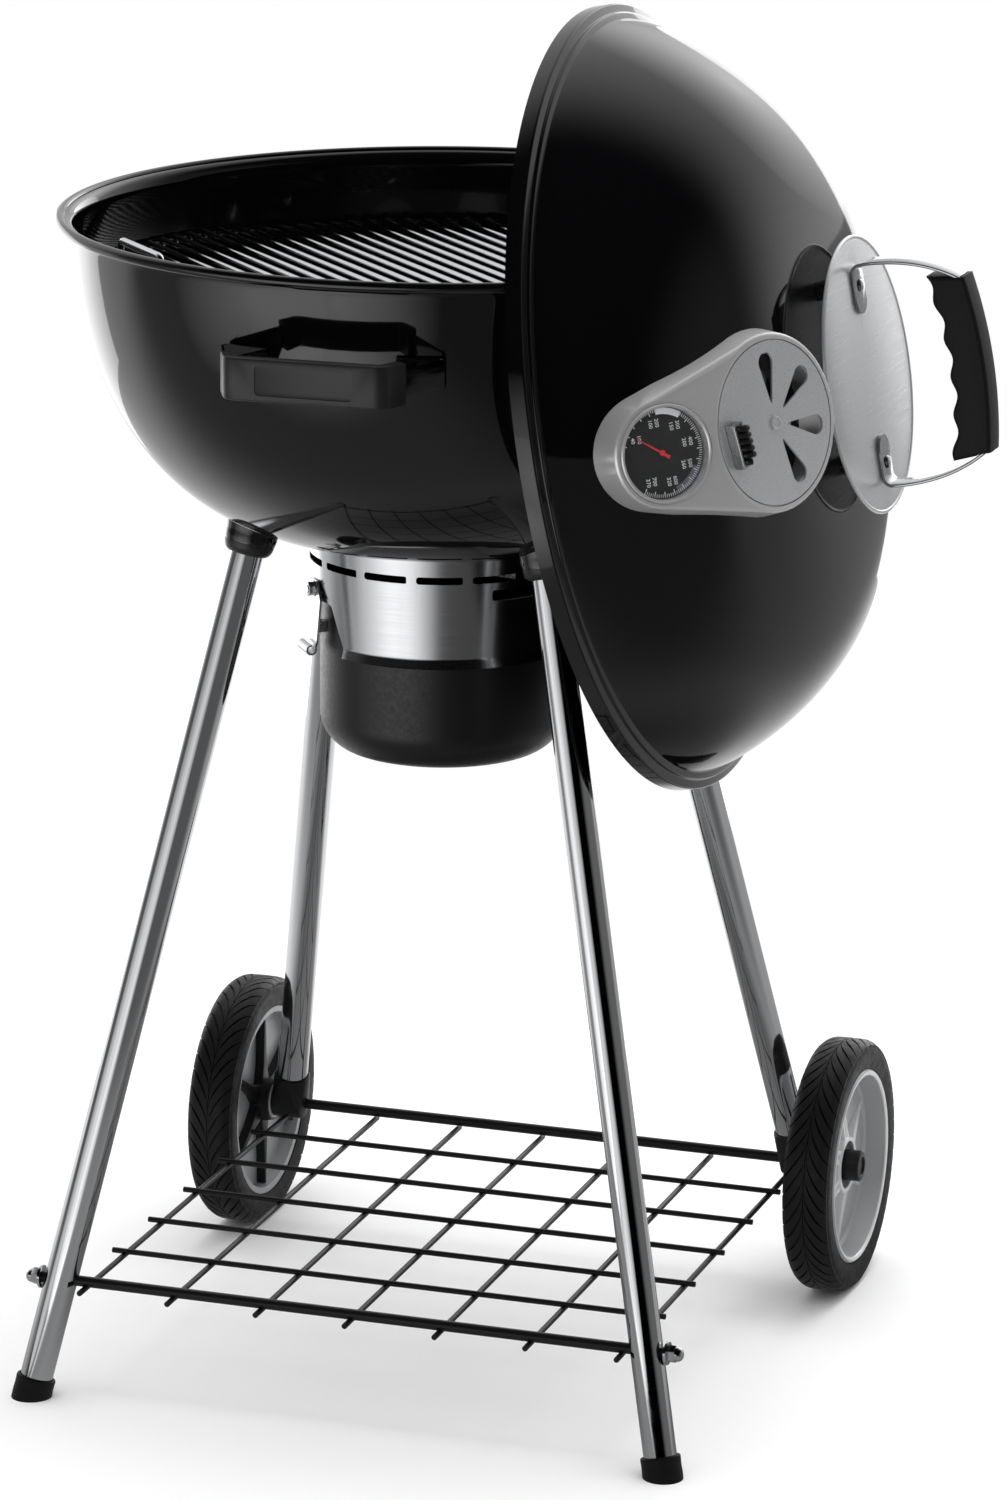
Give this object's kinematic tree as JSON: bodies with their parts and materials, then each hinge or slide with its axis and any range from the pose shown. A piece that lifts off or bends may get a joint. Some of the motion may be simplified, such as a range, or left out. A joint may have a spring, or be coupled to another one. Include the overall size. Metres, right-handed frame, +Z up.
{
  "type": "kettle charcoal grill",
  "caption": "Round kettle charcoal grill on a leg stand with rear wheels and wire shelf, its domed vented lid hung on the bowl rim, with grates and an ash catcher.",
  "frame": {"origin": "centre of the bounding box's footprint, on the floor", "axes": "+Z up, -Y the front where the bowl handle is, +X the side where the lid hangs"},
  "size_m": [0.6896, 0.6528, 1.0112],
  "materials": {
    "enamel": "gloss black porcelain enamel",
    "chrome": "polished chrome plate",
    "stainless": "brushed stainless steel",
    "cast_silver": "satin cast aluminium",
    "black_plastic": "moulded black plastic",
    "rubber": "soft black rubber",
    "tyre_black": "moulded black tread",
    "black_paint": "satin black paint",
    "wheel_silver": "silver painted plastic",
    "dial_black": "printed black dial",
    "needle_red": "red paint",
    "glass": "clear glass"
  },
  "bodies": {
    "stand": {"bowl": "enamel", "bowl_handle_strap": "black_paint", "bowl_handle_grip": "black_plastic", "bowl_handle_rivet_left": "stainless", "bowl_handle_rivet_right": "stainless", "grate_bracket_1": "stainless", "grate_bracket_2": "stainless", "grate_bracket_3": "stainless", "charcoal_grate": "stainless", "leg_socket_front_left": "enamel", "leg_collar_front_left": "black_plastic", "leg_front_left": "chrome", "leg_socket_front_right": "enamel", "leg_collar_front_right": "black_plastic", "leg_front_right": "chrome", "leg_socket_rear_left": "enamel", "leg_collar_rear_left": "black_plastic", "leg_rear_left": "chrome", "leg_socket_rear_right": "enamel", "leg_collar_rear_right": "black_plastic", "leg_rear_right": "chrome", "wire_shelf": "black_paint", "axle": "black_paint", "foot_cap_left": "rubber", "foot_cap_right": "rubber", "axle_bracket_left": "black_plastic", "axle_bracket_right": "black_plastic", "shelf_nut_left": "chrome", "shelf_nut_right": "chrome", "ash_collar": "stainless", "latch_bolt_left": "stainless", "latch_bolt_right": "stainless"},
    "lid": {"lid": "enamel", "lid_hook": "stainless", "vent_housing": "cast_silver", "thermometer_case": "chrome", "thermometer_dial": "dial_black", "thermometer_lens": "glass", "heat_shield": "stainless", "lid_handle_strap": "stainless", "lid_handle_grip": "rubber", "lid_rivet_top": "stainless", "lid_rivet_bottom": "stainless"},
    "vent": {"vent_disc": "stainless", "vent_tab": "black_paint"},
    "needle": {"thermometer_needle": "needle_red"},
    "wheel_left": {"tyre_left": "tyre_black", "wheel_disc_left": "wheel_silver", "hub_cap_left": "black_plastic"},
    "wheel_right": {"tyre_right": "tyre_black", "wheel_disc_right": "wheel_silver", "hub_cap_right": "black_plastic"},
    "cooking_grate": {"cooking_grate": "chrome"},
    "flap_left": {"grate_flap_left": "chrome"},
    "flap_right": {"grate_flap_right": "chrome"},
    "ash_pot": {"ash_pot": "black_paint"},
    "damper": {"damper_vanes": "stainless", "damper_lever": "stainless"},
    "latch_left": {"pot_latch_left": "stainless"},
    "latch_right": {"pot_latch_right": "stainless"}
  },
  "joints": [
    {"name": "lid_lift", "type": "slide", "parent": "stand", "child": "lid", "axis": [0, 0, 1], "range_m": [0, 0.12]},
    {"name": "vent_turn", "type": "hinge", "parent": "lid", "child": "vent", "pos_m": [0.23152, -0.16669, 0.75837], "axis": [0.8956, -0.4147, 0.1611], "range_deg": [-26, 0]},
    {"name": "needle_turn", "type": "hinge", "parent": "lid", "child": "needle", "pos_m": [0.18113, -0.24769, 0.74931], "axis": [0.6898, -0.7133, 0.1241], "range_deg": [-200, 20]},
    {"name": "wheel_spin_left", "type": "hinge", "parent": "stand", "child": "wheel_left", "pos_m": [-0.06596, 0.22941, 0.097], "axis": [1, 0, 0], "continuous": true},
    {"name": "wheel_spin_right", "type": "hinge", "parent": "stand", "child": "wheel_right", "pos_m": [-0.06596, 0.22941, 0.097], "axis": [1, 0, 0], "continuous": true},
    {"name": "grate_lift", "type": "slide", "parent": "stand", "child": "cooking_grate", "axis": [0, 0, 1], "range_m": [0, 0.03]},
    {"name": "flap_left_turn", "type": "hinge", "parent": "cooking_grate", "child": "flap_left", "pos_m": [-0.17384, -0.10977, 0.8085], "axis": [-0.7071, 0.7071, 0], "range_deg": [0, 100]},
    {"name": "flap_right_turn", "type": "hinge", "parent": "cooking_grate", "child": "flap_right", "pos_m": [0.04193, 0.106, 0.8085], "axis": [0.7071, -0.7071, 0], "range_deg": [0, 90]},
    {"name": "pot_slide", "type": "slide", "parent": "stand", "child": "ash_pot", "axis": [0, 0, 1], "range_m": [-0.09, 0]},
    {"name": "damper_turn", "type": "hinge", "parent": "stand", "child": "damper", "pos_m": [-0.06596, -0.00189, 0.6], "axis": [0, 0, 1], "range_deg": [-16, 15]},
    {"name": "latch_left_turn", "type": "hinge", "parent": "stand", "child": "latch_left", "pos_m": [-0.06596, -0.00189, 0.58732], "axis": [-0.788, -0.6157, 0], "range_deg": [-45, 0]},
    {"name": "latch_right_turn", "type": "hinge", "parent": "stand", "child": "latch_right", "pos_m": [-0.06596, -0.00189, 0.58732], "axis": [0.788, 0.6157, 0], "range_deg": [-45, 0]}
  ]
}
